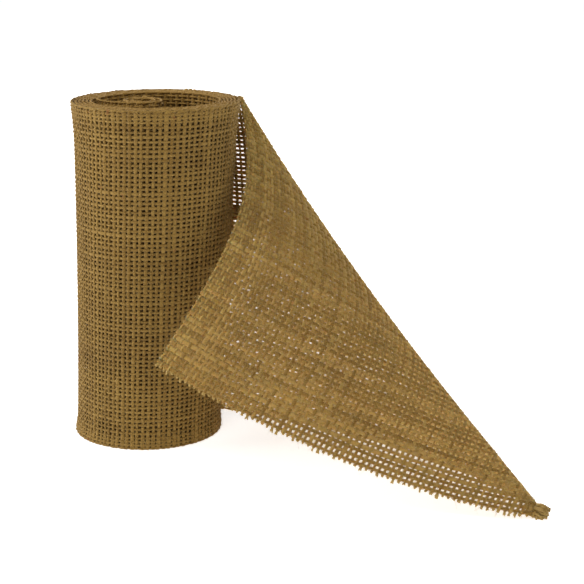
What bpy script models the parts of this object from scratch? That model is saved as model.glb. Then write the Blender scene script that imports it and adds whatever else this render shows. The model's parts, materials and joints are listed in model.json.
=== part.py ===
"""A roll of open-weave jute ribbon standing on end, its free tail folded over on the slant.

The ribbon is one long strip. It starts in a loose curl inside the roll's hollow, winds outwards
clockwise as a flat spiral, leaves the back of the roll and stands on its lower edge as a low wall.
The wall's top turns over along a slanting ridge, so that the cut end falls forward as a
three-cornered flap. Metres, +Z up. The design is drawn about the roll's axis, and a parent empty
puts the middle of the whole part's base at the origin.
"""

from math import cos, radians, sin, tau

import bmesh
import bpy
from mathutils import Vector

# Ribbon
RIBBON_WIDTH = 0.150
CLOTH = 0.0010
END_GAP = 0.0005

# Roll: a slightly wider top, because the turns are looser there
ROLL_TOP_RADIUS = 0.0374
ROLL_BASE_RADIUS = 0.0336
HOLLOW_TOP_RADIUS = 0.0262
HOLLOW_BASE_RADIUS = 0.0240
ROLL_LEAN = 0.0064
TURN_GAP = 0.00037

# Loose curl at the inner end
CURL_RADIUS = 0.0092
CURL_START_RADIUS = 0.0032
CURL_TURNS = 2.0
CURL_OFFSET = Vector((-0.0068, 0.0, 0.0))
CURL_END_AHEAD = radians(95)

# Tail: its place is measured from the roll's axis
TAKE_OFF = radians(75)
FOLD_START_ANGLE = radians(28.5)
FOLD_START_CLEARANCE = 0.0055
TAIL_TIP = Vector((0.1635, -0.1125, 0.0006))
FLAP_CORNER = Vector((0.0072, -0.0750, 0.0527))
RIDGE_SAG = 0.0045
NECK_RUN = 0.0520

# Joints: the tail swings about an upright line behind the roll, and the flap about the ridge
SWING_ALONG_NECK = 0.70
SWING_GAP = 0.0020
RIDGE_GAP = 0.0030

# Ways in which the curves leave and reach their ends
LEAVE_ROLL_LOW = 0.0580
LEAVE_ROLL_HIGH = 0.0110
REACH_TIP = Vector((-0.0195, 0.0675, 0.0))
REACH_FOLD = Vector((-0.0075, 0.0066, 0.0))
FLAP_EDGE_START = Vector((0.0092, -0.0325, -0.0368))
FLAP_EDGE_END = Vector((0.0354, 0.0330, 0.0481))
CUT_END_START = Vector((0.0466, -0.0270, -0.0215))
CUT_END_END = Vector((-0.0462, -0.0030, 0.0060))
RIDGE_ROLL_OVER = Vector((-0.0321, -0.0090, 0.0400))
SAG_WAY = Vector((-0.81, -0.145, -0.57))
WALL_TOP_EASE = 0.35

# Facets
TURN_STEPS = 36
CURL_STEPS = 25
LEAD_STEPS = 12
ROLL_ROWS = 2
NECK_STEPS = 8
NECK_END_STEPS = 3
WALL_STEPS = 24
WALL_ROWS = 9
FLAP_STEPS = 16
WALL_END = 0.965

JUTE = (0.255, 0.150, 0.050)
JUTE_SHADE = (0.170, 0.100, 0.035)
JUTE_LIT = (0.330, 0.200, 0.072)
JUTE_ROUGHNESS = 0.9


def clear_scene():
    """Removes every object that the file opened with."""
    for obj in list(bpy.data.objects):
        bpy.data.objects.remove(obj)


def jute_finish(name, colour):
    """A dull natural fibre finish."""
    material = bpy.data.materials.new(name)
    material.use_nodes = True
    shader = material.node_tree.nodes["Principled BSDF"]
    shader.inputs["Base Color"].default_value = (*colour, 1.0)
    shader.inputs["Roughness"].default_value = JUTE_ROUGHNESS
    shader.inputs["Metallic"].default_value = 0.0
    return material


# Curves


def cubic(points, t):
    """A point at t on the cubic curve with these four control points."""
    a, b, c, d = points
    u = 1.0 - t
    return a * u**3 + b * (3 * u * u * t) + c * (3 * u * t * t) + d * t**3


def hermite(start, start_slope, end, end_slope, t):
    """A point at t on the curve from start to end that has these slopes at its ends."""
    return cubic((start, start + start_slope / 3, end - end_slope / 3, end), t)


def between(base, top, z):
    """The value at height z between the roll's base and its top."""
    return base + (top - base) * z / RIBBON_WIDTH


# The roll


def roll_centre(z):
    """The roll's axis at height z. It leans a little to +X."""
    return Vector((between(-ROLL_LEAN / 2, ROLL_LEAN / 2, z), 0.0, z))


def around(centre, radius, angle):
    """The point at this radius and angle from a centre, level with it."""
    return centre + Vector((radius * cos(angle), radius * sin(angle), 0.0))


def roll_turns():
    """As many turns as the roll's wall holds at its base, to a quarter of a turn."""
    wall = ROLL_BASE_RADIUS - HOLLOW_BASE_RADIUS - CLOTH
    return int(4 * wall / (CLOTH + TURN_GAP)) / 4


def spiral_point(turn, z):
    """The cloth's mid-line after that many turns from the spiral's inner end, at height z."""
    inner = between(HOLLOW_BASE_RADIUS, HOLLOW_TOP_RADIUS, z) + CLOTH / 2
    outer = between(ROLL_BASE_RADIUS, ROLL_TOP_RADIUS, z) - CLOTH / 2
    radius = inner + (outer - inner) * turn / roll_turns()
    angle = TAKE_OFF + (roll_turns() - turn) * tau
    return around(roll_centre(z), radius, angle)


def curl_point(turn, z):
    """The loose curl's mid-line, which ends a little ahead of the spiral's inner end."""
    radius = CURL_START_RADIUS + (CURL_RADIUS - CURL_START_RADIUS) * turn / CURL_TURNS
    end_angle = TAKE_OFF + roll_turns() * tau + CURL_END_AHEAD
    angle = end_angle + (CURL_TURNS - turn) * tau
    return around(roll_centre(z) + CURL_OFFSET, radius, angle)


def lead_point(t, z):
    """The stretch that crosses the hollow from the curl to the spiral's inner end."""
    start = curl_point(CURL_TURNS, z)
    end = spiral_point(0.0, z)
    reach = (end - start).length
    start_way = (start - curl_point(CURL_TURNS - 0.01, z)).normalized()
    end_way = (spiral_point(0.01, z) - end).normalized()
    return hermite(start, start_way * reach, end, end_way * reach, t)


# The tail


def fold_start():
    """Where the upper edge turns over, just clear of the roll's rim."""
    radius = ROLL_TOP_RADIUS + FOLD_START_CLEARANCE
    return around(roll_centre(RIBBON_WIDTH), radius, FOLD_START_ANGLE)


def leaving_way():
    """The direction in which the ribbon leaves the roll, seen from above."""
    return Vector((sin(TAKE_OFF), -cos(TAKE_OFF), 0.0))


def lower_edge():
    """The tail's lower edge on the ground, from the roll to the tip."""
    start = spiral_point(roll_turns(), 0.0)
    tip = Vector((TAIL_TIP.x, TAIL_TIP.y, 0.0))
    return (start, start + leaving_way() * LEAVE_ROLL_LOW, tip + REACH_TIP, tip)


def neck_share():
    """The share of the lower edge that lies under the neck, between the roll and the fold."""
    edge = lower_edge()
    return NECK_RUN / (edge[3] - edge[0]).length


def upper_edge():
    """The tail's upper edge, from the roll to where it turns over."""
    start = spiral_point(roll_turns(), RIBBON_WIDTH)
    end = fold_start()
    return (start, start + leaving_way() * LEAVE_ROLL_HIGH, end + REACH_FOLD, end)


def ridge():
    """The slanting fold, from the roll's rim down to the tip. It sags a little half way."""
    start = fold_start()
    sag = SAG_WAY * (RIDGE_SAG * 4 / 3)
    along = TAIL_TIP - start
    return (start, start + along / 3 + sag, start + along * 2 / 3 + sag, TAIL_TIP)


def flap_net():
    """The flap's ten control points, keyed by their steps to its start, its corner and its tip."""
    start, high, low, tip = ridge()
    return {
        (3, 0, 0): start,
        (2, 0, 1): high,
        (1, 0, 2): low,
        (0, 0, 3): tip,
        (2, 1, 0): start + FLAP_EDGE_START,
        (1, 2, 0): FLAP_CORNER + FLAP_EDGE_END,
        (0, 3, 0): FLAP_CORNER.copy(),
        (0, 2, 1): FLAP_CORNER + CUT_END_START,
        (0, 1, 2): tip + CUT_END_END,
        (1, 1, 1): low + RIDGE_ROLL_OVER,
    }


def flap_point(net, shares):
    """A point of the flap. Its three shares say how near it is to each corner, and add to 1."""
    factorial = (1, 1, 2, 6)
    point = Vector((0.0, 0.0, 0.0))
    for steps, control in net.items():
        weight = 6.0
        for step, share in zip(steps, shares):
            weight *= share**step / factorial[step]
        point += control * weight
    return point


def ridge_slope(net, q):
    """The cloth's slope across the ridge at q, from the wall over into the flap."""
    u = 1.0 - q
    near = net[2, 1, 0] - net[2, 0, 1]
    middle = net[1, 1, 1] - net[1, 0, 2]
    far = net[0, 1, 2] - net[0, 0, 3]
    return (near * u * u + middle * (2 * u * q) + far * q * q) * 3


def upright(bottom, top, across, turned, up):
    """A point at height share up on a thread that stands on the ground.

    It is straight where turned is 0. Where it is 1, it starts upright and ends along across.
    """
    chord = top - bottom
    start_slope = chord.lerp(Vector((0.0, 0.0, max(chord.z, 0.0))), turned)
    end_slope = chord.lerp(across, turned)
    return hermite(bottom, start_slope, top, end_slope, up)


def neck_point(net, along, up):
    """A point of the neck, from the roll at 0 to the start of the fold at 1."""
    bottom = cubic(lower_edge(), along * neck_share())
    top = cubic(upper_edge(), along)
    across = ridge_slope(net, 0.0) * WALL_TOP_EASE
    return upright(bottom, top, across, along**3, up)


def wall_point(net, along, up):
    """A point of the wall under the ridge, from the start of the fold at 0 to the tip at 1."""
    bottom = cubic(lower_edge(), neck_share() + along * (1 - neck_share()))
    top = cubic(ridge(), along)
    across = ridge_slope(net, along) * ((1 - along) * WALL_TOP_EASE)
    return upright(bottom, top, across, 1.0, up)


# Solids


def link(name, mesh, colour):
    """Puts a mesh in the scene as a smooth-shaded object with its own finish."""
    mesh.materials.append(jute_finish(name + "_jute", colour))
    mesh.shade_smooth()
    mesh.set_sharp_from_angle(angle=radians(40))
    obj = bpy.data.objects.new(name, mesh)
    bpy.context.scene.collection.objects.link(obj)
    return obj


def plan_offset(line, i):
    """Half a cloth's thickness to the left of a line at its point i, seen from above."""
    before = line[max(i - 1, 0)]
    after = line[min(i + 1, len(line) - 1)]
    way = after - before
    return Vector((-way.y, way.x, 0.0)).normalized() * (CLOTH / 2)


def upright_strip(name, lines, colour):
    """A strip through level lines, thickened level, so that its upper and lower edges lie flat."""
    bm = bmesh.new()
    left = []
    right = []
    for line in lines:
        offsets = [plan_offset(line, i) for i in range(len(line))]
        left.append([bm.verts.new(point + offset) for point, offset in zip(line, offsets)])
        right.append([bm.verts.new(point - offset) for point, offset in zip(line, offsets)])
    loops = [l + r[::-1] for l, r in zip(left, right)]
    count = len(loops[0])
    for low, high in zip(loops, loops[1:]):
        for i in range(count):
            j = (i + 1) % count
            bm.faces.new((low[i], high[i], high[j], low[j]))
    for l, r, flip in ((left[0], right[0], False), (left[-1], right[-1], True)):
        for i in range(len(l) - 1):
            corners = (l[i], l[i + 1], r[i + 1], r[i])
            bm.faces.new(corners[::-1] if flip else corners)
    mesh = bpy.data.meshes.new(name)
    bmesh.ops.recalc_face_normals(bm, faces=bm.faces)
    bm.to_mesh(mesh)
    bm.free()
    return link(name, mesh, colour)


def sheet(name, bm, colour):
    """A sheet of faces, thickened about its mid-surface."""
    mesh = bpy.data.meshes.new(name)
    bm.to_mesh(mesh)
    bm.free()
    obj = link(name, mesh, colour)
    cloth = obj.modifiers.new("cloth", "SOLIDIFY")
    cloth.thickness = CLOTH
    cloth.offset = 0.0
    return obj


def heights(steps):
    """Evenly spaced heights from the ground to the ribbon's upper edge."""
    return [RIBBON_WIDTH * i / steps for i in range(steps + 1)]


def end_gap_turns(radius):
    """The part of a turn that leaves the gap between two stretches' ends."""
    return END_GAP / (tau * radius)


def inner_curl():
    """The loose curl at the ribbon's inner end, with its lead to the spiral."""
    lines = []
    for z in heights(ROLL_ROWS):
        curl = [curl_point(CURL_TURNS * i / CURL_STEPS, z) for i in range(CURL_STEPS)]
        lead = [lead_point(i / LEAD_STEPS, z) for i in range(LEAD_STEPS + 1)]
        lead[-1] += (lead[-2] - lead[-1]).normalized() * END_GAP
        lines.append(curl + lead)
    return upright_strip("inner_curl", lines, JUTE_SHADE)


def wound_layers():
    """The spiral's turns under the last one."""
    first = end_gap_turns(HOLLOW_BASE_RADIUS)
    last = roll_turns() - 1.0 - end_gap_turns(ROLL_BASE_RADIUS)
    steps = round(last * TURN_STEPS)
    lines = []
    for z in heights(ROLL_ROWS):
        lines.append([spiral_point(first + (last - first) * i / steps, z) for i in range(steps + 1)])
    return upright_strip("wound_layers", lines, JUTE)


def outer_wrap(net):
    """The last turn, and the free stretch behind the roll as far as the swing line."""
    first = roll_turns() - 1.0 + end_gap_turns(ROLL_BASE_RADIUS)
    step = (roll_turns() - first) / TURN_STEPS
    lines = []
    for row, z in enumerate(heights(WALL_ROWS)):
        up = row / WALL_ROWS
        turn = [spiral_point(first + step * i, z) for i in range(TURN_STEPS)]
        free = [neck_point(net, SWING_ALONG_NECK * i / NECK_STEPS, up) for i in range(NECK_STEPS + 1)]
        free[-1] += (free[-2] - free[-1]).normalized() * (SWING_GAP / 2)
        lines.append(turn + free)
    return upright_strip("outer_wrap", lines, JUTE)


def tail_wall(net):
    """The standing wall, from the swing line to the tip."""
    ups = [row / WALL_ROWS for row in range(WALL_ROWS + 1)]
    columns = []
    for i in range(NECK_END_STEPS):
        along = SWING_ALONG_NECK + (1 - SWING_ALONG_NECK) * i / NECK_END_STEPS
        columns.append([neck_point(net, along, up) for up in ups])
    for i in range(WALL_STEPS + 1):
        columns.append([wall_point(net, WALL_END * i / WALL_STEPS, up) for up in ups])
    toward = [(b - a).normalized() for a, b in zip(columns[0], columns[1])]
    columns[0] = [point + way * (SWING_GAP / 2) for point, way in zip(columns[0], toward)]
    for column in columns[NECK_END_STEPS:]:
        column[-1] += (column[-2] - column[-1]).normalized() * (RIDGE_GAP / 2)
    bm = bmesh.new()
    grid = [[bm.verts.new(point) for point in column] for column in columns]
    for near, far in zip(grid, grid[1:]):
        for row in range(WALL_ROWS):
            bm.faces.new((near[row], far[row], far[row + 1], near[row + 1]))
    return sheet("tail_wall", bm, JUTE)


def tail_flap(net):
    """The three-cornered flap, which starts half a gap in front of the ridge."""
    reach = (FLAP_CORNER - (fold_start() + TAIL_TIP) / 2).length
    first = RIDGE_GAP / reach
    bm = bmesh.new()
    rows = []
    for j in range(FLAP_STEPS + 1):
        corner = first + (1 - first) * j / FLAP_STEPS
        count = FLAP_STEPS - j
        row = []
        for i in range(count + 1):
            tip = (1 - corner) * i / max(count, 1)
            row.append(bm.verts.new(flap_point(net, (1 - corner - tip, corner, tip))))
        rows.append(row)
    for low, high in zip(rows, rows[1:]):
        for i in range(len(high)):
            bm.faces.new((low[i], low[i + 1], high[i]))
        for i in range(len(high) - 1):
            bm.faces.new((low[i + 1], high[i + 1], high[i]))
    return sheet("tail_flap", bm, JUTE_LIT)


# Placing


def empty(name, location, parent=None):
    """An empty at a place on the drawing, carried by its parent."""
    obj = bpy.data.objects.new(name, None)
    bpy.context.scene.collection.objects.link(obj)
    obj.location = location
    if parent:
        carry(parent, obj)
    return obj


def carry(parent, child):
    """Makes a child follow its parent from where both are drawn."""
    bpy.context.view_layer.update()
    child.parent = parent
    child.matrix_parent_inverse = parent.matrix_world.inverted()


def base_middle(objects):
    """The middle of the base of the box round these objects."""
    bpy.context.view_layer.update()
    depsgraph = bpy.context.evaluated_depsgraph_get()
    points = []
    for obj in objects:
        mesh = obj.evaluated_get(depsgraph).data
        points += [obj.matrix_world @ vertex.co for vertex in mesh.vertices]
    low = Vector(min(point[axis] for point in points) for axis in range(3))
    high = Vector(max(point[axis] for point in points) for axis in range(3))
    return Vector(((low.x + high.x) / 2, (low.y + high.y) / 2, low.z))


def swing_line(net):
    """The foot of the upright line that the tail swings about."""
    foot = neck_point(net, SWING_ALONG_NECK, 0.0)
    head = neck_point(net, SWING_ALONG_NECK, 1.0)
    return Vector(((foot.x + head.x) / 2, (foot.y + head.y) / 2, 0.0))


def ridge_line():
    """The middle of the straight line that the flap turns about, half way into the sag."""
    return (fold_start() + TAIL_TIP) / 2 + SAG_WAY * (RIDGE_SAG / 2)


def main():
    """Builds the ribbon's stretches, hangs the moving ones on their joints and centres them all."""
    clear_scene()
    net = flap_net()
    roll = [inner_curl(), wound_layers(), outer_wrap(net)]
    wall = tail_wall(net)
    flap = tail_flap(net)
    middle = base_middle([*roll, wall, flap])
    roll_axis = empty("roll_axis", Vector((0.0, 0.0, 0.0)))
    swing = empty("tail_swing", swing_line(net), roll_axis)
    fold = empty("flap_fold", ridge_line(), swing)
    for piece in roll:
        carry(roll_axis, piece)
    carry(swing, wall)
    carry(fold, flap)
    roll_axis.location = -middle


main()
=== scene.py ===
"""The looks of a roll of open-weave jute ribbon whose free tail is folded over on the slant.

The ribbon is woven here, yarn by yarn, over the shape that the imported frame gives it. A route
turns a place on the flat ribbon into a place in the frame, a loom lays warp and weft yarns along
that route, and each stretch of the ribbon is one woven piece. Metres, +Z up.
"""

import json
import logging
from collections.abc import Callable
from dataclasses import dataclass, field, replace
from enum import Enum
from math import ceil, cos, pi, radians, sin, tau

import bpy
import numpy as np
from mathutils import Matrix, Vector


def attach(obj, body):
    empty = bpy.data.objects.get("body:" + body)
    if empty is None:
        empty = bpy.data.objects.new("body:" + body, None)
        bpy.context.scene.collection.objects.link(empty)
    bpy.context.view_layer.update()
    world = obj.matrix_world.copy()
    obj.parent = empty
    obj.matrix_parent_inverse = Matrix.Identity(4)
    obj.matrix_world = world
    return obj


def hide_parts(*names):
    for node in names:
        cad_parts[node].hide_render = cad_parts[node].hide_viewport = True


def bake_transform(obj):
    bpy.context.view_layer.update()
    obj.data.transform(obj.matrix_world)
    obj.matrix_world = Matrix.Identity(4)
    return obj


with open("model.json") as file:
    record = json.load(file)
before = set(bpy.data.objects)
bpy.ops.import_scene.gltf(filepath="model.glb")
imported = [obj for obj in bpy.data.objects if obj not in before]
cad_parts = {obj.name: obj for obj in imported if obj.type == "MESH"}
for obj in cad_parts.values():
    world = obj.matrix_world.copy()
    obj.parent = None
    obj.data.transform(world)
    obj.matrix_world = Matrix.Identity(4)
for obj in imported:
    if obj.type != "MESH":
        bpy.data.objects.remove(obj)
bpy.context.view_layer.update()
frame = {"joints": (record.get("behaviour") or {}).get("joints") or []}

log = logging.getLogger("jute_ribbon_roll")

Array = np.ndarray
Place = Callable[[Array, Array], Array]
Triple = tuple[float, float, float]

FINE_STEPS = 241
YARN_TO_YARN = 0.0137
FIBRE_LOWEST = 0.0001
FIBRE_SEED = 31

# Small sums


def vec(values: Triple) -> Array:
    """A triple as an array."""
    return np.array(values, float)


def unit(vectors: Array) -> Array:
    """Vectors scaled to length 1, along the last axis."""
    return vectors / np.maximum(np.linalg.norm(vectors, axis=-1, keepdims=True), 1e-12)


def mixed(low: Array | float, high: Array | float, share: Array | float) -> Array:
    """The value at a share of the way from low to high."""
    return low + (high - low) * share


def smooth(low: float, high: float, values: Array) -> Array:
    """0 below low, 1 above high, and an even S between them."""
    share = np.clip((values - low) / (high - low), 0, 1)
    return share * share * (3 - 2 * share)


def cubic(a: Array, b: Array, c: Array, d: Array, t: Array) -> Array:
    """Points at t on the cubic curve with these four control points.

    Args:
        a: The curve's start.
        b: The control point after it.
        c: The control point before the end.
        d: The curve's end.
        t: Shares along the curve.

    Returns:
        The points.
    """
    t = np.asarray(t, float)[..., None]
    u = 1 - t
    return a * u**3 + b * (3 * u * u * t) + c * (3 * u * t * t) + d * t**3


def hermite(start: Array, start_slope: Array, end: Array, end_slope: Array, t: Array) -> Array:
    """Points at t on the curve from start to end that has these slopes at its ends."""
    return cubic(start, start + start_slope / 3, end - end_slope / 3, end, t)


def run_share(line: Array) -> Array:
    """The share of a line's length that lies before each of its points."""
    run = np.concatenate([[0], np.cumsum(np.linalg.norm(np.diff(line, axis=0), axis=1))])
    return run / max(run[-1], 1e-9)


def evened(drawn: Place, along: Array, across: Array) -> Array:
    """Points of a drawn surface whose spacing across the ribbon is even along each weft.

    Args:
        drawn: The surface.
        along: Shares along the ribbon.
        across: Shares of each weft's length.

    Returns:
        The points.
    """
    along, across = np.broadcast_arrays(along, across)
    fine = np.linspace(0, 1, FINE_STEPS)
    placed = np.empty(along.shape)
    for value in np.unique(along):
        here = along == value
        placed[here] = np.interp(across[here], run_share(drawn(np.full_like(fine, value), fine)), fine)
    return drawn(along, placed)


def wander(rng: np.random.Generator, rows: int, points: int, knot: float) -> Array:
    """Smooth random rows that wander about 0.

    Args:
        rng: The source of the random draws.
        rows: How many rows.
        points: How many points a row has.
        knot: Points between two random knots.

    Returns:
        An array of rows by points, mostly between -1.5 and 1.5.
    """
    knots = rng.normal(0, 0.7, (rows, ceil(points / knot) + 3))
    place = np.arange(points) / knot
    index = place.astype(int)
    share = place - index
    share = share * share * (3 - 2 * share)
    return knots[:, index] * (1 - share) + knots[:, index + 1] * share


def joint_place(name: str) -> Array:
    """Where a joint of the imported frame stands."""
    return vec(next(j for j in frame["joints"] if j["name"] == name)["pos_m"])


def linked(mesh: bpy.types.Mesh) -> bpy.types.Object:
    """A mesh as an object of its name at the origin.

    Args:
        mesh: The mesh.

    Returns:
        The object, in the scene.
    """
    piece = bpy.data.objects.new(mesh.name, mesh)
    bpy.context.scene.collection.objects.link(piece)
    return piece


# The ribbon's route


@dataclass(frozen=True)
class RibbonRoute:
    """The ribbon's mid-surface, drawn about the roll's axis and then moved into the frame."""

    width: float = 0.150
    cloth: float = 0.0010
    roll_top_radius: float = 0.0374
    roll_base_radius: float = 0.0336
    hollow_top_radius: float = 0.0262
    hollow_base_radius: float = 0.0240
    roll_lean: float = 0.0064
    turn_gap: float = 0.00037
    curl_radius: float = 0.0092
    curl_start_radius: float = 0.0032
    curl_turns: float = 2.0
    curl_offset: Triple = (-0.0068, 0.0, 0.0)
    curl_end_ahead: float = radians(95)
    take_off: float = radians(75)
    fold_start_angle: float = radians(28.5)
    fold_start_clearance: float = 0.0038
    tail_tip: Triple = (0.1635, -0.1125, 0.0006)
    flap_corner: Triple = (0.0072, -0.0750, 0.0527)
    ridge_sag: float = 0.0045
    neck_run: float = 0.0520
    swing_along_neck: float = 0.70
    leave_roll_low: float = 0.0580
    leave_roll_high: float = 0.0110
    reach_tip: Triple = (-0.0195, 0.0675, 0.0)
    reach_fold: Triple = (-0.0075, 0.0066, 0.0)
    flap_edge_start: Triple = (0.0092, -0.0325, -0.0368)
    flap_edge_end: Triple = (0.0354, 0.0330, 0.0481)
    cut_end_start: Triple = (0.0466, -0.0270, -0.0215)
    cut_end_end: Triple = (-0.0462, -0.0030, 0.0060)
    ridge_roll_over: Triple = (-0.0321, -0.0090, 0.0400)
    sag_way: Triple = (-0.81, -0.145, -0.57)
    wall_top_ease: float = 0.35
    slack: float = 0.0011
    rim_rise: float = 0.0014
    rim_flare: float = 0.0007
    base_flare: float = 0.0006
    rim_flare_from: float = 0.88
    base_flare_to: float = 0.06
    rim_rise_from: float = 0.5
    belly_power: float = 0.6

    @property
    def turns(self) -> float:
        """How many turns the roll's wall holds, to a quarter of a turn."""
        wall = self.roll_base_radius - self.hollow_base_radius - self.cloth
        return int(4 * wall / (self.cloth + self.turn_gap)) / 4

    @property
    def shift(self) -> Array:
        """The move from the roll's axis to the frame's origin, read from the tail's joint.

        Returns:
            The move, in metres.
        """
        foot = self.neck_drawn(np.array(self.swing_along_neck), np.array([0.0, 1.0])).mean(0)
        foot[2] = 0.0
        return joint_place("tail_swing") - foot

    def ring(self, radius: Array, angle: Array, up: Array) -> Array:
        """Points round the roll's leaning axis, where its left side has slackened inwards.

        Args:
            radius: Distances from the axis.
            angle: Angles round it.
            up: The height shares.

        Returns:
            The points.
        """
        radius, angle, up = np.broadcast_arrays(radius, angle, up)
        lean = mixed(-self.roll_lean / 2, self.roll_lean / 2, up)
        left = np.clip(-np.cos(angle), 0, 1) ** 2
        belly = np.sin(pi * np.clip(up, 0, 1)) ** self.belly_power
        radius = radius + self.rim_flare * smooth(self.rim_flare_from, 1.0, up)
        radius = radius + self.base_flare * (1 - smooth(0.0, self.base_flare_to, up))
        x = lean + radius * np.cos(angle) + self.slack * left * belly
        z = up * self.width + self.rim_rise * smooth(self.rim_rise_from, 1.0, up)
        return np.stack([x, radius * np.sin(angle), z], -1)

    def spiral_drawn(self, turn: Array, up: Array) -> Array:
        """Points of the wound turns, after that many turns from the innermost.

        Args:
            turn: Turns from the innermost.
            up: The height shares.

        Returns:
            The points.
        """
        inner = mixed(self.hollow_base_radius, self.hollow_top_radius, up) + self.cloth / 2
        outer = mixed(self.roll_base_radius, self.roll_top_radius, up) - self.cloth / 2
        radius = mixed(inner, outer, turn / self.turns)
        return self.ring(radius, self.take_off + (self.turns - turn) * tau, up)

    def curl_drawn(self, turn: Array, up: Array) -> Array:
        """Points of the loose curl in the hollow.

        Args:
            turn: Turns from the ribbon's inner end.
            up: The height shares.

        Returns:
            The points.
        """
        radius = mixed(self.curl_start_radius, self.curl_radius, turn / self.curl_turns)
        end = self.take_off + self.turns * tau + self.curl_end_ahead
        angle = end + (self.curl_turns - turn) * tau
        return self.ring(radius, angle, up) + vec(self.curl_offset)

    def lead_drawn(self, share: Array, up: Array) -> Array:
        """Points of the stretch that crosses the hollow from the curl to the spiral.

        Args:
            share: Shares of the way from the curl to the spiral.
            up: The height shares.

        Returns:
            The points.
        """
        start = self.curl_drawn(np.array(self.curl_turns), up)
        end = self.spiral_drawn(np.array(0.0), up)
        reach = np.linalg.norm(end - start, axis=-1, keepdims=True)
        start_way = unit(start - self.curl_drawn(np.array(self.curl_turns - 0.01), up))
        end_way = unit(self.spiral_drawn(np.array(0.01), up) - end)
        return hermite(start, start_way * reach, end, end_way * reach, share)

    def fold_start(self) -> Array:
        """Where the upper edge turns over, just clear of the roll's rim.

        Returns:
            The place.
        """
        radius = self.roll_top_radius + self.fold_start_clearance
        centre = np.array([self.roll_lean / 2, 0.0, self.width])
        angle = self.fold_start_angle
        return centre + radius * np.array([cos(angle), sin(angle), 0.0])

    def lower_edge(self) -> tuple[Array, Array, Array, Array]:
        """Control points of the tail's lower edge on the ground.

        Returns:
            A cubic curve's four control points.
        """
        start = self.spiral_drawn(np.array(self.turns), np.array(0.0))
        leaving = np.array([sin(self.take_off), -cos(self.take_off), 0.0])
        tip = vec(self.tail_tip) * np.array([1.0, 1.0, 0.0])
        return start, start + leaving * self.leave_roll_low, tip + vec(self.reach_tip), tip

    def upper_edge(self) -> tuple[Array, Array, Array, Array]:
        """Control points of the tail's upper edge, from the roll to where it turns over.

        Returns:
            A cubic curve's four control points.
        """
        start = self.spiral_drawn(np.array(self.turns), np.array(1.0))
        leaving = np.array([sin(self.take_off), -cos(self.take_off), 0.0])
        end = self.fold_start()
        return start, start + leaving * self.leave_roll_high, end + vec(self.reach_fold), end

    def neck_share(self) -> float:
        """The share of the lower edge that lies under the neck."""
        edge = self.lower_edge()
        return self.neck_run / float(np.linalg.norm(edge[3] - edge[0]))

    def ridge(self) -> tuple[Array, Array, Array, Array]:
        """Control points of the slanting fold, which sags a little half way.

        Returns:
            A cubic curve's four control points.
        """
        start, tip = self.fold_start(), vec(self.tail_tip)
        sag = vec(self.sag_way) * (self.ridge_sag * 4 / 3)
        along = tip - start
        return start, start + along / 3 + sag, start + along * 2 / 3 + sag, tip

    def flap_net(self) -> dict[tuple[int, int, int], Array]:
        """The flap's control points, keyed by their steps to its start, corner and tip.

        Returns:
            The ten control points of a cubic triangle.
        """
        start, high, low, tip = self.ridge()
        corner = vec(self.flap_corner)
        return {
            (3, 0, 0): start,
            (2, 0, 1): high,
            (1, 0, 2): low,
            (0, 0, 3): tip,
            (2, 1, 0): start + vec(self.flap_edge_start),
            (1, 2, 0): corner + vec(self.flap_edge_end),
            (0, 3, 0): corner,
            (0, 2, 1): corner + vec(self.cut_end_start),
            (0, 1, 2): tip + vec(self.cut_end_end),
            (1, 1, 1): low + vec(self.ridge_roll_over),
        }

    def flap_drawn(self, start: Array, corner: Array, tip: Array) -> Array:
        """Points of the flap from their three shares, which add to 1.

        Args:
            start: Shares of the way to where the fold starts.
            corner: Shares of the way to the flap's corner.
            tip: Shares of the way to the tip.

        Returns:
            The points.
        """
        factorial = (1, 1, 2, 6)
        total = 0.0
        for steps, control in self.flap_net().items():
            weight = 6.0
            for step, share in zip(steps, (start, corner, tip)):
                weight = weight * share**step / factorial[step]
            total = total + weight[..., None] * control
        return total

    def ridge_slope(self, q: Array) -> Array:
        """The cloth's slope across the ridge at q, from the wall over into the flap.

        Args:
            q: Shares along the ridge, from where the fold starts.

        Returns:
            The slopes.
        """
        net = self.flap_net()
        near = net[2, 1, 0] - net[2, 0, 1]
        middle = net[1, 1, 1] - net[1, 0, 2]
        far = net[0, 1, 2] - net[0, 0, 3]
        q = np.asarray(q, float)[..., None]
        return (near * (1 - q) ** 2 + middle * (2 * (1 - q) * q) + far * q**2) * 3

    @staticmethod
    def upright(bottom: Array, top: Array, across: Array, turned: Array, up: Array) -> Array:
        """Points at height share up on threads that stand on the ground.

        Args:
            bottom: The threads' feet.
            top: Their upper ends.
            across: The way in which a thread that is fully turned over ends.
            turned: 0 for a straight thread, 1 for one that starts upright and ends along across.
            up: The height share.

        Returns:
            The points.
        """
        chord = top - bottom
        lift = np.zeros_like(chord)
        lift[..., 2] = np.maximum(chord[..., 2], 0.0)
        turned = np.asarray(turned, float)[..., None]
        return hermite(bottom, mixed(chord, lift, turned), top, mixed(chord, across, turned), up)

    def neck_drawn(self, along: Array, up: Array) -> Array:
        """Points of the neck, from the roll at 0 to the start of the fold at 1.

        Args:
            along: Shares along the neck.
            up: The height shares.

        Returns:
            The points.
        """
        along, up = np.broadcast_arrays(along, up)
        bottom = cubic(*self.lower_edge(), along * self.neck_share())
        top = cubic(*self.upper_edge(), along)
        across = self.ridge_slope(np.zeros_like(along)) * self.wall_top_ease
        points = self.upright(bottom, top, across, along**3, up)
        seam = self.spiral_drawn(np.array(self.turns), up)
        ends = self.spiral_drawn(np.array(self.turns), np.array([0.0, 1.0]))
        flare = seam - mixed(ends[0], ends[1], up[..., None])
        return points + flare * ((1 - along) ** 3)[..., None]

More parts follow.
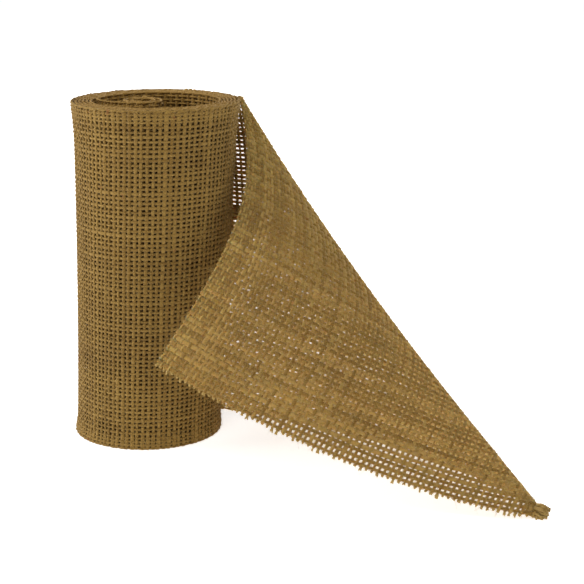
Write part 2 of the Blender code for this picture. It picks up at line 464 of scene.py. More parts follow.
    def ridge_place(self, along: Array) -> Array:
        """Where wefts that are evenly spaced on the flap's hem cross the ridge.

        Args:
            along: Shares along the flap's hem.

        Returns:
            Shares along the ridge.
        """
        fine = np.linspace(0, 1, FINE_STEPS)
        hem = self.flap_drawn(1 - fine, fine, np.zeros_like(fine))
        return np.interp(along, run_share(hem), fine)

    def wall_drawn(self, along: Array, up: Array) -> Array:
        """Points of the tail's wall, from the ground at 0 up to the ridge at 1.

        Args:
            along: Shares along the tail.
            up: Shares of the wall's height there.

        Returns:
            The points.
        """
        q = self.ridge_place(along)
        bottom = cubic(*self.lower_edge(), mixed(self.neck_share(), 1.0, q))
        top = cubic(*self.ridge(), q)
        slope = self.ridge_slope(q) * ((1 - q) * self.wall_top_ease)[..., None]
        return self.upright(bottom, top, slope, np.ones_like(q), up)

    def turned_down(self, along: Array, past: Array) -> Array:
        """Points of the flap, from the ridge at 0 to the upper selvage at 1."""
        q = self.ridge_place(along)
        return self.flap_drawn(1 - q, q * past, q * (1 - past))

    def tail_drawn(self, along: Array, across: Array) -> Array:
        """Points of the tail beyond the neck, evenly spaced on the wall and on the flap.

        Args:
            along: 0 where the fold starts, 1 at the cut end.
            across: 0 at the lower selvage, 1 at the upper one.

        Returns:
            The points.
        """
        along, across = np.broadcast_arrays(along, across)
        fold = 1 - along
        up = np.clip(across / np.maximum(fold, 1e-6), 0, 1)
        past = np.clip((across - fold) / np.maximum(along, 1e-6), 0, 1)
        wall = evened(self.wall_drawn, along, up)
        flap = evened(self.turned_down, along, past)
        return np.where((across > fold)[..., None], flap, wall)


# Yarns


@dataclass
class YarnRun:
    """Yarns that are laid alike: arrays of yarns by points."""

    centre: Array
    facing: Array
    wide: Array
    deep: Array
    tone: Array
    # Painted backlight: tone added on the inward side of the yarns behind the fold.
    painted_backlight: Array | None = None


@dataclass
class YarnMesh:
    """Tubes gathered for one piece, with a map along and round each yarn."""

    points: list[Array] = field(default_factory=list)
    corners: list[Array] = field(default_factory=list)
    sizes: list[Array] = field(default_factory=list)
    maps: list[Array] = field(default_factory=list)
    tones: list[Array] = field(default_factory=list)
    count: int = 0

    def add(self, run: YarnRun, sides: int, start: float = 0.0) -> None:
        """Adds a closed tube for each yarn of a run.

        Args:
            run: The yarns.
            sides: How many sides a tube has.
            start: Where the map begins along the first yarn, in metres.
        """
        yarns, steps, _ = run.centre.shape
        way = unit(np.gradient(run.centre, axis=1))
        side = unit(np.cross(way, run.facing))
        lift = np.cross(side, way)
        angle = np.arange(sides) / sides * tau
        across = (run.wide / 2)[..., None, None] * np.cos(angle)[:, None] * side[:, :, None]
        upward = (run.deep / 2)[..., None, None] * np.sin(angle)[:, None] * lift[:, :, None]
        ring = run.centre[:, :, None] + across + upward
        ring[..., 2] = np.maximum(ring[..., 2], 0.0)
        index = np.arange(ring[..., 0].size).reshape(yarns, steps, sides) + self.count
        after = np.roll(index, -1, axis=2)
        quads = np.stack([index[:, :-1], index[:, 1:], after[:, 1:], after[:, :-1]], -1)
        step = np.linalg.norm(np.diff(run.centre, axis=1), axis=-1)
        length = np.concatenate([np.zeros((yarns, 1)), np.cumsum(step, 1)], 1) + start
        length += np.arange(yarns)[:, None] * YARN_TO_YARN
        near = np.broadcast_to(length[:, :-1, None], quads.shape[:3])
        far = np.broadcast_to(length[:, 1:, None], quads.shape[:3])
        low = np.broadcast_to(np.arange(sides) / sides, quads.shape[:3])
        high = low + 1 / sides
        u = np.stack([near, far, far, near], -1)
        v = np.stack([low, low, high, high], -1)
        self.points.append(ring.reshape(-1, 3))
        self.corners.append(quads.reshape(-1))
        self.sizes.append(np.full(quads[..., 0].size, 4))
        self.maps.append(np.stack([u, v], -1).reshape(-1, 2))
        for cap, place in ((index[:, 0], length[:, 0]), (index[:, -1, ::-1], length[:, -1])):
            self.corners.append(cap.reshape(-1))
            self.sizes.append(np.full(yarns, sides))
            flat = np.stack([np.repeat(place, sides), np.tile(np.arange(sides) / sides, yarns)], -1)
            self.maps.append(flat)
        tone = np.repeat(run.tone[..., None], sides, axis=2)
        # Painted backlight: the inward side of a yarn behind the fold is painted paler.
        if run.painted_backlight is not None:
            tone = tone + run.painted_backlight[..., None] * (np.sin(angle) < 0.1)
        self.tones.append(tone.reshape(-1))
        self.count += ring[..., 0].size

    def make(self, name: str) -> bpy.types.Object:
        """Makes the gathered tubes one smooth-shaded object at the origin.

        Args:
            name: The object's name.

        Returns:
            The object.
        """
        mesh = bpy.data.meshes.new(name)
        points = np.concatenate(self.points).astype(np.float32)
        corners = np.concatenate(self.corners).astype(np.int32)
        sizes = np.concatenate(self.sizes)
        starts = np.concatenate([[0], np.cumsum(sizes)[:-1]]).astype(np.int32)
        mesh.vertices.add(len(points))
        mesh.vertices.foreach_set("co", points.ravel())
        mesh.loops.add(len(corners))
        mesh.loops.foreach_set("vertex_index", corners)
        mesh.polygons.add(len(sizes))
        mesh.polygons.foreach_set("loop_start", starts)
        mesh.update(calc_edges=True)
        mesh.uv_layers.new(name="yarn").data.foreach_set(
            "uv", np.concatenate(self.maps).astype(np.float32).ravel()
        )
        tone = mesh.attributes.new("tone", "FLOAT", "POINT")
        tone.data.foreach_set("value", np.concatenate(self.tones).astype(np.float32))
        mesh.shade_smooth()
        return linked(mesh)


class Weave(Enum):
    """How much of a stretch's width is woven."""

    WHOLE = "whole"
    HEMS = "hems"


@dataclass(frozen=True)
class Stretch:
    """A length of the ribbon that is one woven piece."""

    name: str
    place: Place
    first_weft: int
    wefts: int
    sides: int = 5
    weave: Weave = Weave.WHOLE
    full: float = 1.0
    full_behind: float = 1.0
    dense_edge: float = 0.0
    # Painted backlight: how much paler the inward side of the yarns behind the fold is painted.
    painted_backlight_behind: float = 0.0

    def fullness(self, along: Array, across: Array) -> Array:
        """How much fatter than on the roll its yarns lie, in front of the slanting fold or behind it."""
        return np.where(across < 1 - along, self.full_behind, self.full)

    def painted_backlight(self, along: Array, across: Array) -> Array:
        """How much paler a yarn's inward side is painted behind the slanting fold: painted backlight,
        standing in for light that comes through the cloth from behind.
        """
        return np.where(across < 1 - along, self.painted_backlight_behind, 0.0)


@dataclass(frozen=True)
class Hair:
    """How the loose fibres of a piece are grown."""

    count: int
    long: float
    girth: float = 0.00011
    lift: float = 0.6
    fan: float = 0.5
    more_on_hems: int = 0


@dataclass
class Loom:
    """Weaves the ribbon's cloth over a route, and keeps each yarn alike from piece to piece."""

    route: RibbonRoute
    wefts: int
    seed: int = 7
    edge: float = 0.0004
    hem_pitch: float = 0.0016
    hem_cords: int = 4
    body_start: float = 0.0074
    warp_pitch: float = 0.0020
    warp_wide: float = 0.00118
    weft_wide: float = 0.00140
    deep: float = 0.00066
    cord_wide: float = 0.00088
    hem_full: float = 0.32
    sway: float = 0.00010

    def __post_init__(self) -> None:
        """Draws what makes each yarn its own, for the whole ribbon at once."""
        rng = np.random.default_rng(self.seed)
        width = self.route.width
        cords = self.edge + 0.0001 + self.hem_pitch * np.arange(self.hem_cords)
        body = width - 2 * self.body_start
        count = round(body / self.warp_pitch) + 1
        middle = self.body_start + body * np.arange(count) / (count - 1)
        self.warps = np.concatenate([cords, middle, width - cords[::-1]]) / width
        self.is_cord = np.ones(len(self.warps), bool)
        self.is_cord[self.hem_cords : -self.hem_cords] = False
        samples = 2 * self.wefts + 1
        many = len(self.warps)
        self.warp_girth = self.girth(rng, many, samples)
        self.warp_sway = wander(rng, many, samples, 9) * self.sway
        self.warp_tone = self.tones(rng, many, samples)
        self.ups = self.weft_samples()
        self.weft_girth = self.girth(rng, self.wefts, len(self.ups))
        self.weft_sway = wander(rng, self.wefts, len(self.ups), 11) * self.sway
        self.weft_sway += rng.normal(0, 0.00012, (self.wefts, 1))
        self.weft_tone = self.tones(rng, self.wefts, len(self.ups))

    @staticmethod
    def girth(rng: np.random.Generator, yarns: int, points: int) -> Array:
        """Uneven spinning: each yarn's own girth, its long swells and its short slubs.

        Args:
            rng: The source of the random draws.
            yarns: How many yarns.
            points: How many points a yarn has.

        Returns:
            Factors on the girth, about 1.
        """
        own_spread, long_swell, short_swell, slub_swell = 0.13, 0.10, 0.05, 0.7
        thinnest, thickest = 0.65, 1.5
        own = np.exp(rng.normal(0, own_spread, (yarns, 1)))
        swell = 1 + long_swell * wander(rng, yarns, points, 14) + short_swell * wander(rng, yarns, points, 3)
        slub = 1 + slub_swell * smooth(1.15, 1.6, wander(rng, yarns, points, 7))
        return np.clip(own * swell * slub, thinnest, thickest)

    @staticmethod
    def tones(rng: np.random.Generator, yarns: int, points: int) -> Array:
        """Each yarn's own shade and its drift along the yarn, about 0.5."""
        own = rng.normal(0.5, 0.12, (yarns, 1))
        return np.clip(own + 0.10 * wander(rng, yarns, points, 18), 0, 1)

    def weft_samples(self) -> Array:
        """Places where a weft yarn has a point: its end loops, each warp and half way between.

        Returns:
            Shares of the ribbon's width.
        """
        between = (self.warps[1:] + self.warps[:-1]) / 2
        inner = np.empty(len(self.warps) + len(between))
        inner[0::2] = self.warps
        inner[1::2] = between
        loop = np.array([self.edge, self.edge + 0.00035]) / self.route.width
        return np.concatenate([loop, inner, 1 - loop[::-1]])

    def grid(self, stretch: Stretch) -> tuple[Array, Array, Array]:
        """The cloth's places, outward ways and along ways at every yarn crossing and half way.

        Args:
            stretch: The stretch.

        Returns:
            The places, outward ways and along ways.
        """
        along = np.arange(2 * stretch.wefts + 1) / (2 * stretch.wefts)
        places = stretch.place(along[:, None], self.ups[None, :])
        along_way = unit(np.gradient(places, axis=0))
        across_way = unit(np.gradient(places, self.ups, axis=1))
        return places, unit(np.cross(across_way, along_way)), along_way

    def lay_warps(self, stretch: Stretch, grid: tuple[Array, Array, Array]) -> YarnRun:
        """The warp yarns of a stretch, over and under its wefts.

        Args:
            stretch: The stretch.
            grid: Its places, outward ways and along ways.

        Returns:
            The warp yarns.
        """
        places, facing, along_way = grid
        columns = np.arange(len(self.warps)) * 2 + 2
        first = 2 * stretch.first_weft
        last = first + 2 * stretch.wefts + 1
        centre = places[:, columns].transpose(1, 0, 2).copy()
        out = facing[:, columns].transpose(1, 0, 2)
        way = along_way[:, columns].transpose(1, 0, 2)
        rise = np.zeros(centre.shape[:2])
        wefts = np.arange(stretch.wefts)
        odd = (np.arange(len(self.warps))[:, None] + stretch.first_weft + wefts[None]) % 2
        rise[:, 1::2] = (1 - 2 * odd) * self.deep / 2
        rise[self.is_cord] *= 1.35
        side = np.cross(out, way)
        sway = self.warp_sway[:, first:last, None] * side
        sway[self.is_cord] *= 0.4
        centre += rise[..., None] * out + sway
        along = np.arange(2 * stretch.wefts + 1) / (2 * stretch.wefts)
        full = stretch.fullness(along[None], self.warps[:, None])
        wide = np.where(self.is_cord[:, None], self.cord_wide, self.warp_wide * full)
        wide = wide * self.warp_girth[:, first:last]
        deep = np.minimum(wide, self.deep * np.sqrt(self.warp_girth[:, first:last]))
        tone = self.warp_tone[:, first:last].copy()
        tone[self.is_cord] += 0.15
        return YarnRun(centre, out, wide, deep, tone, stretch.painted_backlight(along[None], self.warps[:, None]))

    def lay_wefts(self, stretch: Stretch, grid: tuple[Array, Array, Array]) -> YarnRun:
        """The weft yarns of a stretch, whose ends loop into their neighbours at the selvages.

        Args:
            stretch: The stretch.
            grid: Its places, outward ways and along ways.

        Returns:
            The weft yarns.
        """
        places, facing, along_way = grid
        rows = np.arange(stretch.wefts) * 2 + 1
        number = stretch.first_weft + np.arange(stretch.wefts)
        centre = places[rows].copy()
        out = facing[rows]
        way = along_way[rows]
        rise = np.zeros(centre.shape[:2])
        odd = (number[:, None] + np.arange(len(self.warps))[None]) % 2
        rise[:, 2:-2:2] = (2 * odd - 1) * self.deep / 2
        edge = np.minimum(self.ups, 1 - self.ups) * self.route.width
        rise *= mixed(0.45, 1.0, smooth(0.004, 0.009, edge))
        sway = self.weft_sway[number]
        pitch = np.linalg.norm(places[2::2] - places[:-2:2], axis=-1)
        pair = 1 - 2 * (number % 2)
        loop = np.zeros(centre.shape[:2])
        loop[:, 0] = -0.5 * pair
        loop[:, 1] = -0.36 * pair
        loop[:, -1] = 0.5 * pair
        loop[:, -2] = 0.36 * pair
        sway = np.where(loop != 0, loop * pitch, sway)
        centre += rise[..., None] * out + sway[..., None] * way
        full = 1 + self.hem_full * (1 - smooth(0.0042, 0.0085, edge)) * smooth(0.0004, 0.0016, edge)
        near = 1 - smooth(0.4 * stretch.dense_edge, stretch.dense_edge + 1e-6, edge)
        dense = 1 + 0.45 * near * (stretch.dense_edge > 0)
        girth = self.weft_girth[number]
        along = (rows / 2 / stretch.wefts)[:, None]
        lying = stretch.fullness(along, self.ups[None]) ** 0.6
        closed = mixed(1.02, 0.92, smooth(0.005, 0.009, edge))
        wide = np.minimum(self.weft_wide * lying * girth * full * dense, pitch * closed)
        deep = self.deep * np.sqrt(girth * full)
        tone = self.weft_tone[number] + 0.10 * (full > 1.3)
        return YarnRun(centre, out, wide, deep, tone, stretch.painted_backlight(along, self.ups[None]))

    def weave(self, stretch: Stretch) -> tuple[bpy.types.Object, YarnRun, YarnRun]:
        """Weaves one stretch.

        Args:
            stretch: What to weave.

        Returns:
            The piece, its warp yarns and its weft yarns.
        """
        grid = self.grid(stretch)
        warps = self.lay_warps(stretch, grid)
        wefts = self.lay_wefts(stretch, grid)
        mesh = YarnMesh()
        if stretch.weave is Weave.WHOLE:
            mesh.add(warps, stretch.sides)
            mesh.add(wefts, stretch.sides)
        else:
            kept = self.hem_cords + 2
            hem = 2 + 2 * kept
            for part in (slice(None, kept), slice(-kept, None)):
                mesh.add(cut(warps, part, slice(None)), stretch.sides)
            for part in (slice(None, hem), slice(-hem, None)):
                mesh.add(cut(wefts, slice(None), part), stretch.sides)
        return mesh.make(stretch.name), warps, wefts


def cut(run: YarnRun, yarns: slice, points: slice) -> YarnRun:
    """The part of a run that has these yarns and these points.

    Args:
        run: The yarns.
        yarns: Which of the yarns.
        points: Which of each yarn's points.

    Returns:
        That part of the run, without the painted backlight of its inward side.
    """
    return YarnRun(
        run.centre[yarns, points],
        run.facing[yarns, points],
        run.wide[yarns, points],
        run.deep[yarns, points],
        run.tone[yarns, points],
    )


def grow_hairs(rng: np.random.Generator, runs: list[YarnRun], hair: Hair, name: str) -> bpy.types.Object:
    """Grows loose fibres out of yarns.

    Args:
        rng: The source of the random draws.
        runs: The yarns that they grow from.
        hair: How many there are, and how long and thick.
        name: The piece's name.

    Returns:
        The fibres as one piece.
    """
    near = 9
    hems = [cut(runs[1], slice(None), part) for part in (slice(None, near), slice(-near, None))]
    runs = runs + hems * hair.more_on_hems
    centre = np.concatenate([r.centre.reshape(-1, 3) for r in runs])
    facing = np.concatenate([r.facing.reshape(-1, 3) for r in runs])
    way = np.concatenate([unit(np.gradient(r.centre, axis=1)).reshape(-1, 3) for r in runs])
    pick = rng.integers(0, len(centre), hair.count)
    return hair_piece(rng, centre[pick], facing[pick], way[pick], hair, name)


def hair_piece(
    rng: np.random.Generator, root: Array, out: Array, way: Array, hair: Hair, name: str
) -> bpy.types.Object:
    """Makes fibres at these roots, which lean out of the cloth and along their yarns.

    Args:
        rng: The source of the random draws.
        root: Where the fibres start.
        out: The cloth's outward ways there.
        way: The yarns' ways there.
        hair: How long and thick the fibres are.
        name: The piece's name.

    Returns:
        The fibres as one piece.
    """
    count = len(root)
    lean = rng.normal(0, 1, (count, 1))
    side = np.cross(out, way)
    aim = unit(
        way * np.sign(lean) * 0.9
        + out * rng.uniform(0.02, hair.lift * 2, (count, 1))
        + side * rng.normal(0, hair.fan, (count, 1))
    )
    bend = unit(rng.normal(0, 1, (count, 3)) + way * 0.5)
    long = hair.long * np.minimum(rng.lognormal(0, 0.45, (count, 1)), 1.8)
    s = np.linspace(0, 1, 4)[None, :, None]
    line = root[:, None] + out[:, None] * 0.00015
    line = line + (aim[:, None] * s + bend[:, None] * s**2 * 0.45) * long[:, None]
    line[..., 2] = np.maximum(line[..., 2], FIBRE_LOWEST)
    girth = hair.girth * rng.uniform(0.7, 1.3, (count, 1)) * np.linspace(1, 0.35, 4)
    tone = np.broadcast_to(rng.uniform(0.45, 1.0, (count, 1)), girth.shape)
    facing = unit(np.cross(aim, bend) + 1e-6)
    mesh = YarnMesh()
    faces = np.broadcast_to(facing[:, None], line.shape)
    mesh.add(YarnRun(line, faces, girth, girth, tone), 3)
    return mesh.make(name)


# Finishes


Colour = tuple[float, float, float, float]


@dataclass(frozen=True)
class JuteFinish:
    """Undyed jute: painted shade darkens it between its twisted strands and leaves their tops paler, with a
    few red-brown flecks.
    """

    name: str
    dark: Colour
    middle: Colour
    pale: Colour
    fleck: Colour = (0.20, 0.062, 0.018, 1.0)
    fleck_share: float = 0.5
    roughness: float = 0.88
    bump: float = 0.7
    lets_through: float = 0.0

    def material(self) -> bpy.types.Material:
        """Makes the finish's material around the shared fibre pattern.

        Returns:
            The material.
        """
        material = bpy.data.materials.new(self.name)
        material.use_nodes = True
        nodes, links = material.node_tree.nodes, material.node_tree.links
        shader = nodes["Principled BSDF"]
        shader.inputs["Specular IOR Level"].default_value = 0.18
        shader.inputs["Subsurface Weight"].default_value = self.lets_through
        shader.inputs["Subsurface Radius"].default_value = (1.0, 0.6, 0.25)
        shader.inputs["Subsurface Scale"].default_value = 0.0012
        shader.inputs["Sheen Weight"].default_value = 0.12
        shader.inputs["Sheen Roughness"].default_value = 0.6
        shader.inputs["Sheen Tint"].default_value = (1.0, 0.85, 0.62, 1.0)
        fibre = nodes.new("ShaderNodeGroup")
        fibre.node_tree = fibre_pattern()
        fibre.inputs["Dark"].default_value = self.dark
        fibre.inputs["Middle"].default_value = self.middle
        fibre.inputs["Pale"].default_value = self.pale
        fibre.inputs["Fleck"].default_value = self.fleck
        fibre.inputs["Fleck Share"].default_value = self.fleck_share
        fibre.inputs["Roughness"].default_value = self.roughness
        bump = nodes.new("ShaderNodeBump")
        bump.inputs["Strength"].default_value = self.bump
        bump.inputs["Distance"].default_value = 0.00018
        links.new(fibre.outputs["Colour"], shader.inputs["Base Color"])
        links.new(fibre.outputs["Roughness"], shader.inputs["Roughness"])
        links.new(fibre.outputs["Height"], bump.inputs["Height"])
        links.new(bump.outputs["Normal"], shader.inputs["Normal"])
        return material


class NodeSheet:
    """A shader node tree that is filled node by node."""

    def __init__(self, tree: bpy.types.NodeTree) -> None:
        """Opens a node tree.

        Args:
            tree: The tree to fill.
        """
        self.tree = tree
        self.nodes = tree.nodes
        self.links = tree.links

    def socket(self, name: str, kind: str, way: str) -> None:
        """Adds a named input or output to the group."""
        self.tree.interface.new_socket(name=name, in_out=way, socket_type=kind)

    def math(self, operation: str, *values: object) -> bpy.types.NodeSocket:
        """Adds a sum whose inputs are numbers or other nodes' outputs, and returns its output.

        Args:
            operation: The node's operation.
            values: Its inputs, in order: numbers or other nodes' outputs.

        Returns:
            The node's output.
        """
        node = self.nodes.new("ShaderNodeMath")
        node.operation = operation
        for place, value in zip(node.inputs, values):
            self.put(place, value)
        return node.outputs[0]

    def put(self, place: bpy.types.NodeSocket, value: object) -> None:
        """Sets an input to a number, or links another node's output to it.

        Args:
            place: The input.
            value: A number, or another node's output.
        """
        if isinstance(value, bpy.types.NodeSocket):
            self.links.new(value, place)
        else:
            place.default_value = value

    def noise(self, vector: object, scale: float, detail: float, rough: float = 0.5) -> object:
        """Adds a noise texture, and returns its value from 0 to 1.

        Args:
            vector: Where the pattern is read.
            scale: How fine the pattern is.
            detail: How many finer layers it has.
            rough: How strong the finer layers are.

        Returns:
            The noise's value.
        """
        node = self.nodes.new("ShaderNodeTexNoise")
        self.put(node.inputs["Vector"], vector)
        node.inputs["Scale"].default_value = scale
        node.inputs["Detail"].default_value = detail
        node.inputs["Roughness"].default_value = rough
        return node.outputs["Fac"]

    def spread(self, value: object, low: float, high: float, to: tuple[float, float]) -> object:
        """Maps a value from low..high to another range, and clamps it there.

        Args:
            value: The value.
            low: What maps to the first of to.
            high: What maps to the second of to.
            to: The other range.

        Returns:
            The mapped value.
        """
        node = self.nodes.new("ShaderNodeMapRange")
        node.clamp = True
        self.put(node.inputs["Value"], value)
        node.inputs["From Min"].default_value = low
        node.inputs["From Max"].default_value = high
        node.inputs["To Min"].default_value = to[0]
        node.inputs["To Max"].default_value = to[1]
        return node.outputs["Result"]

    def blend(self, share: object, first: object, second: object) -> object:
        """Mixes two colours by a share.

        Args:
            share: The share of the second colour.
            first: The colour at share 0.
            second: The colour at share 1.

        Returns:
            The mixed colour.
        """
        node = self.nodes.new("ShaderNodeMix")
        node.data_type = "RGBA"
        colours = [socket for socket in node.inputs if socket.type == "RGBA"]
        self.put(node.inputs["Factor"], share)
        self.put(colours[0], first)
        self.put(colours[1], second)
        return next(socket for socket in node.outputs if socket.type == "RGBA")


def fibre_pattern() -> bpy.types.NodeTree:
    """The shared pattern of spun jute: twisted strands with painted shade between them, stray fibres, tones
    and flecks.

    Returns:
        The node group, which is made once.
    """
    name = "spun_jute"
    if name in bpy.data.node_groups:
        return bpy.data.node_groups[name]
    sheet = NodeSheet(bpy.data.node_groups.new(name, "ShaderNodeTree"))
    for colour in ("Dark", "Middle", "Pale", "Fleck"):
        sheet.socket(colour, "NodeSocketColor", "INPUT")
    for number in ("Fleck Share", "Roughness"):
        sheet.socket(number, "NodeSocketFloat", "INPUT")
    sheet.socket("Colour", "NodeSocketColor", "OUTPUT")
    sheet.socket("Roughness", "NodeSocketFloat", "OUTPUT")
    sheet.socket("Height", "NodeSocketFloat", "OUTPUT")
    given = sheet.nodes.new("NodeGroupInput").outputs
    made = sheet.nodes.new("NodeGroupOutput").inputs
    along = sheet.nodes.new("ShaderNodeUVMap")
    along.uv_map = "yarn"
    parts = sheet.nodes.new("ShaderNodeSeparateXYZ")
    sheet.links.new(along.outputs["UV"], parts.inputs["Vector"])
    tone = sheet.nodes.new("ShaderNodeAttribute")
    tone.attribute_name = "tone"
    place = sheet.nodes.new("ShaderNodeTexCoord").outputs["Object"]
    twist_pitch = 0.0034
    turned = sheet.math("DIVIDE", parts.outputs["X"], twist_pitch)
    turned = sheet.math("ADD", turned, parts.outputs["Y"])
    ply = sheet.math("SINE", sheet.math("MULTIPLY", turned, 3 * tau))
    ply = sheet.math("MULTIPLY_ADD", ply, 0.5, 0.5)
    strand = sheet.nodes.new("ShaderNodeCombineXYZ")
    sheet.put(strand.inputs["X"], sheet.math("MULTIPLY", parts.outputs["X"], 220.0))
    sheet.put(strand.inputs["Y"], sheet.math("MULTIPLY", turned, 5.0))
    streak = sheet.noise(strand.outputs["Vector"], 2.2, 3.0, 0.65)
    patch = sheet.noise(place, 38.0, 3.0, 0.6)
    fine = sheet.noise(place, 900.0, 2.0)
    height = sheet.math("ADD", sheet.math("MULTIPLY", ply, 0.45), sheet.math("MULTIPLY", streak, 0.9))
    # Painted shade: the colour darkens where the twist and the streaks lower the bump, between the strands;
    # the patch noise adds uneven tone.
    painted_groove_shade_and_patches = sheet.math("MULTIPLY_ADD", ply, 0.22, sheet.math("MULTIPLY", streak, 0.75))
    painted_groove_shade_and_patches = sheet.math("ADD", painted_groove_shade_and_patches, sheet.math("MULTIPLY_ADD", patch, 0.55, -0.27))
    dark_to_middle = sheet.spread(painted_groove_shade_and_patches, 0.20, 0.62, (0.0, 1.0))
    # The yarn's tone pales the colour here; behind the fold that tone also carries the painted backlight.
    shade = sheet.math("ADD", tone.outputs["Fac"], sheet.math("MULTIPLY_ADD", fine, 0.5, -0.25))
    middle_to_pale = sheet.spread(shade, 0.35, 1.05, (0.0, 1.0))
    colour = sheet.blend(dark_to_middle, given["Dark"], given["Middle"])
    colour = sheet.blend(sheet.math("MULTIPLY", middle_to_pale, 0.75), colour, given["Pale"])
    spot = sheet.spread(sheet.noise(place, 150.0, 1.0), 0.735, 0.775, (0.0, 1.0))
    colour = sheet.blend(sheet.math("MULTIPLY", spot, given["Fleck Share"]), colour, given["Fleck"])
    rough = sheet.math("ADD", given["Roughness"], sheet.math("MULTIPLY_ADD", streak, -0.14, 0.07))
    sheet.links.new(colour, made["Colour"])
    sheet.links.new(rough, made["Roughness"])
    sheet.links.new(height, made["Height"])
    return sheet.tree


# One cloth in three copies: the roll's colours are darker than the inner turns' and the tail's, painted shade
# for the roll's outer turns, and the tail's pale colour is raised for the painted backlight behind the fold.
ROLL_JUTE = JuteFinish(
    "jute_of_the_roll", (0.110, 0.053, 0.008, 1), (0.245, 0.142, 0.028, 1), (0.350, 0.217, 0.053, 1)
)
INNER_JUTE = JuteFinish(
    "jute_of_the_inner_turns", (0.180, 0.088, 0.013, 1), (0.300, 0.166, 0.031, 1), (0.405, 0.244, 0.060, 1)
)
TAIL_JUTE = JuteFinish(
    "jute_of_the_tail",
    (0.135, 0.071, 0.012, 1),
    (0.281, 0.166, 0.036, 1),
    (0.624, 0.416, 0.125, 1),
    lets_through=0.8,
)
FIBRE_JUTE = JuteFinish(
    "loose_jute_fibre", (0.235, 0.138, 0.034, 1), (0.390, 0.252, 0.070, 1), (0.500, 0.342, 0.112, 1), bump=0.0
)


@dataclass(frozen=True)
class LintFinish:
    """The haze of finest fibres that half closes the holes of open jute cloth."""

    name: str
    colour: Colour
    thin: float
    thick: float

    def material(self) -> bpy.types.Material:
        """Makes the finish's material, whose cover is uneven.

        Returns:
            The material.
        """
        material = bpy.data.materials.new(self.name)
        material.use_nodes = True
        sheet = NodeSheet(material.node_tree)
        shader = sheet.nodes["Principled BSDF"]
        shader.inputs["Base Color"].default_value = self.colour
        shader.inputs["Roughness"].default_value = 1.0
        shader.inputs["Specular IOR Level"].default_value = 0.0
        place = sheet.nodes.new("ShaderNodeTexCoord").outputs["Object"]
        cover = sheet.spread(sheet.noise(place, 700.0, 3.0, 0.6), 0.35, 0.65, (self.thin, self.thick))
        sheet.links.new(cover, shader.inputs["Alpha"])
        return material


LINT = LintFinish("haze_of_lint", (0.520, 0.340, 0.110, 1.0), 0.22, 0.58)


def dress(piece: bpy.types.Object, finish: JuteFinish | LintFinish) -> None:
    """Gives a piece its finish.

    Args:
        piece: The piece.
        finish: Its finish, whose material is made once.
    """
    material = bpy.data.materials.get(finish.name) or finish.material()
    piece.data.materials.clear()
    piece.data.materials.append(material)


HAIRS = {
    "hollow_turn": Hair(700, 0.0018, more_on_hems=2),
    "middle_turns": Hair(1500, 0.0015, more_on_hems=2),
    "under_turn_back": Hair(400, 0.0015, more_on_hems=2),
    "under_turn_front": Hair(400, 0.0015, more_on_hems=2),
    "outer_turn_back": Hair(4500, 0.0019, lift=0.25, fan=0.9, more_on_hems=1),
    "outer_turn_front": Hair(4500, 0.0019, lift=0.25, fan=0.9, more_on_hems=1),
    "neck_cloth": Hair(2600, 0.0021, lift=0.3, fan=0.9),
    "tail_cloth": Hair(9000, 0.0021, lift=0.2, fan=0.9, more_on_hems=1),
}
STRAYS = {
    "neck_cloth": Hair(2600, 0.0019, girth=0.00016, lift=0.05, fan=1.6),
    "tail_cloth": Hair(9000, 0.0019, girth=0.00015, lift=0.05, fan=1.6),
}


# The ribbon's stretches


